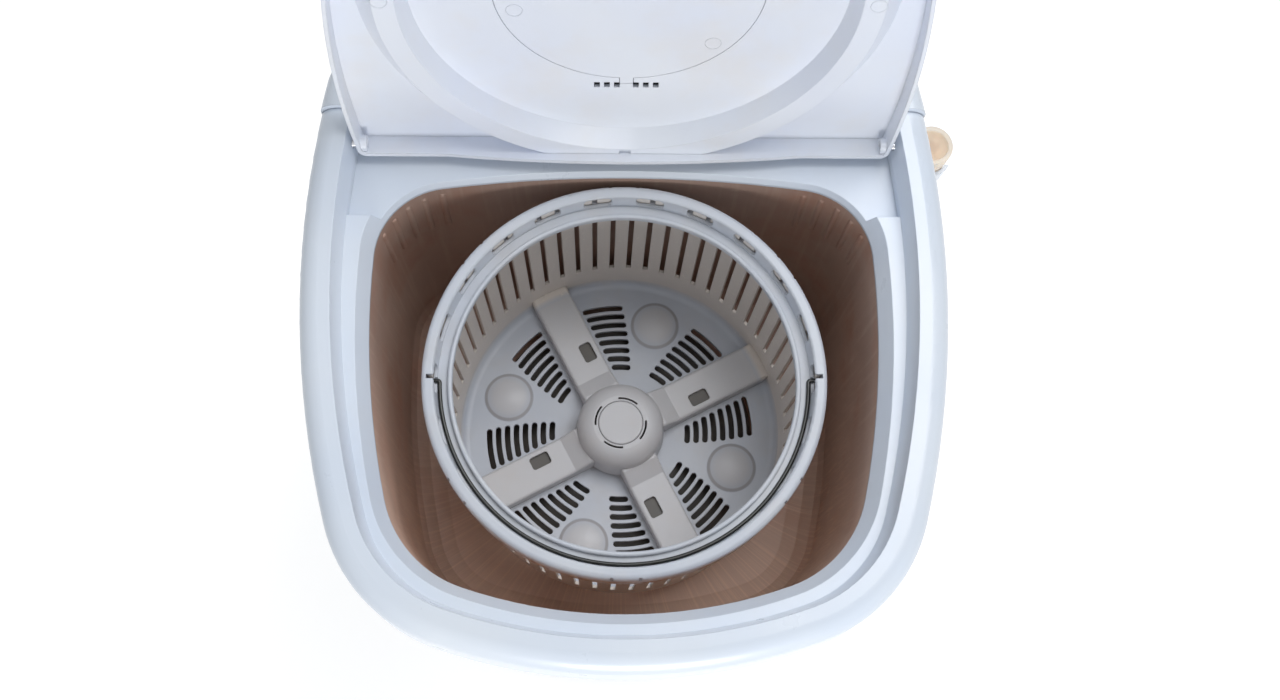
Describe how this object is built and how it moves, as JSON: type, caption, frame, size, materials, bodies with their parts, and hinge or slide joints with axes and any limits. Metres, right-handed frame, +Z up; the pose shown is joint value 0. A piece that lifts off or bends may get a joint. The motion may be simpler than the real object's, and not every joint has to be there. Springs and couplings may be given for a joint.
{
  "type": "mini washing machine",
  "caption": "Compact top-loading washing machine with a bowed tapered cabinet, an upright hinged lid, a brown tub and a lift-out spin basket over a belt-driven pulsator.",
  "frame": {"origin": "on the floor, under the axis of the basket and pulsator", "axes": "+Z up, +Y to the rear where the lid is hinged, +X to the right seen from the front"},
  "size_m": [0.4113, 0.4134, 0.7984],
  "materials": {
    "body_white": "glossy moulded plastic",
    "lid_white": "glossy moulded plastic",
    "tub_brown": "satin moulded plastic",
    "basket_white": "satin moulded plastic",
    "wire_black": "coated wire",
    "hose_beige": "ribbed flexible plastic",
    "panel_grey": "printed plastic sheet",
    "switch_case": "moulded case",
    "steel": "plain steel",
    "zinc": "zinc-plated steel",
    "motor_grey": "painted steel",
    "cast_housing": "cast aluminium",
    "bush_bronze": "sintered bronze",
    "rubber_black": "black rubber",
    "pulley_plastic": "moulded plastic",
    "pulsator_plastic": "moulded plastic",
    "capacitor_can": "plastic can"
  },
  "bodies": {
    "machine": {"cabinet": "body_white", "base_tray": "body_white", "top_frame": "body_white", "rear_console": "body_white", "rear_cover": "body_white", "hose_clip": "body_white", "tub": "tub_brown", "drain_hose": "hose_beige", "control_panel": "panel_grey", "wash_timer": "switch_case", "selector_switch": "switch_case", "drain_outlet": "switch_case", "hinge_pins": "steel", "tub_screws": "zinc", "rear_cover_screws": "zinc", "base_screws": "zinc", "console_screws": "zinc", "housing_bolts": "zinc", "motor_bolts": "zinc", "motor_bracket": "zinc", "motor": "motor_grey", "bearing_housing": "cast_housing", "upper_bush": "bush_bronze", "lower_bush": "bush_bronze", "feet": "rubber_black", "cord_gland": "rubber_black", "tub_gasket": "rubber_black", "shaft_seal": "rubber_black", "drive_belt": "rubber_black", "motor_grommets": "rubber_black", "inner_drain_hose": "rubber_black", "outlet_grommet": "rubber_black", "capacitor_clip": "pulley_plastic", "capacitor": "capacitor_can"},
    "rotor": {"pulsator": "pulsator_plastic", "pulsator_screw": "steel", "drive_shaft": "steel", "driven_pulley": "pulley_plastic", "pulley_nut": "zinc"},
    "motor_rotor": {"motor_shaft": "steel", "motor_pulley": "pulley_plastic"},
    "basket": {"spin_basket": "basket_white", "basket_ring": "basket_white", "hub_cap": "basket_white"},
    "bail_handle": {"bail": "wire_black"},
    "lid_door": {"lid": "lid_white", "lid_insert": "lid_white"},
    "timer_dial": {"timer_knob": "body_white", "timer_spindle": "steel"},
    "selector_dial": {"selector_knob": "body_white", "selector_spindle": "steel"}
  },
  "joints": [
    {"name": "lid_hinge", "type": "hinge", "parent": "machine", "child": "lid_door", "pos_m": [0, 0.143, 0.506], "axis": [-1, 0, 0], "range_deg": [-105, 0]},
    {"name": "pulsator_spin", "type": "hinge", "parent": "machine", "child": "rotor", "pos_m": [0, 0, 0.3], "axis": [0, 0, 1], "continuous": true},
    {"name": "motor_spin", "type": "hinge", "parent": "machine", "child": "motor_rotor", "pos_m": [-0.078, 0.082, 0.2], "axis": [0, 0, 1], "continuous": true},
    {"name": "basket_lift", "type": "slide", "parent": "rotor", "child": "basket", "axis": [0, 0, 1], "range_m": [0, 0.23]},
    {"name": "bail_hinge", "type": "hinge", "parent": "basket", "child": "bail_handle", "pos_m": [0, 0, 0.47105], "axis": [-1, 0, 0], "range_deg": [0, 180]},
    {"name": "timer_turn", "type": "hinge", "parent": "machine", "child": "timer_dial", "pos_m": [0.062, 0.1782, 0.5248], "axis": [0, 0, -1], "range_deg": [0, 300]},
    {"name": "selector_turn", "type": "hinge", "parent": "machine", "child": "selector_dial", "pos_m": [-0.062, 0.1782, 0.5248], "axis": [0, 0, -1], "range_deg": [0, 90]}
  ],
  "couplings": [
    {"joint": "motor_spin", "follows": "pulsator_spin", "ratio": 4.3537}
  ]
}
